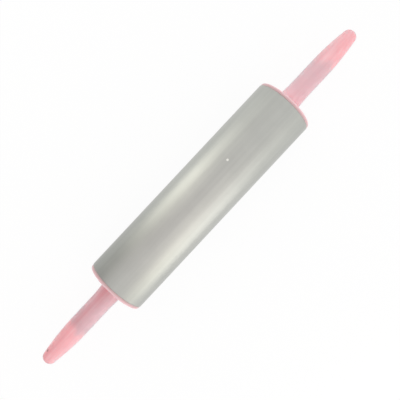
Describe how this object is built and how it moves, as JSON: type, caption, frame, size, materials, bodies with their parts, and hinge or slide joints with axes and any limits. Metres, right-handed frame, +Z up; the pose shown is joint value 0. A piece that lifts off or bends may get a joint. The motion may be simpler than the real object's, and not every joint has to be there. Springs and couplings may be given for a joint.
{
  "type": "rolling pin",
  "caption": "Rolling pin with a hollow satin metal barrel, pink moulded end caps and tapered pink handles fixed to a steel axle on which the barrel turns.",
  "frame": {"origin": "the middle of the pin, on the axle's centre line", "axes": "+X along the axle towards the right handle, +Z up while the pin lies on its barrel"},
  "size_m": [0.4522, 0.0636, 0.0636],
  "materials": {
    "satin_steel": "satin, very fine lines along the barrel",
    "cap_plastic": "moulded pink plastic, semi-gloss",
    "handle_plastic": "milky, slightly see-through pink plastic, semi-gloss",
    "bush_nylon": "plain white nylon",
    "seal_rubber": "matt black rubber",
    "plain_steel": "drawn steel, plain",
    "spring_steel": "dark oiled spring steel"
  },
  "bodies": {
    "roller": {"barrel_tube": "satin_steel", "end_cap_left": "cap_plastic", "end_cap_right": "cap_plastic", "cap_seal_left": "seal_rubber", "cap_seal_right": "seal_rubber", "axle_bush_left": "bush_nylon", "axle_bush_right": "bush_nylon"},
    "spindle": {"axle_rod": "plain_steel", "handle_left": "handle_plastic", "handle_right": "handle_plastic", "handle_insert_left": "plain_steel", "handle_insert_right": "plain_steel", "thrust_washer_left": "plain_steel", "thrust_washer_right": "plain_steel", "inner_washer_left": "plain_steel", "inner_washer_right": "plain_steel", "retaining_ring_left": "spring_steel", "retaining_ring_right": "spring_steel"}
  },
  "joints": [
    {"name": "spindle_spin", "type": "hinge", "parent": "roller", "child": "spindle", "pos_m": [0, 0, 0], "axis": [1, 0, 0], "continuous": true}
  ]
}
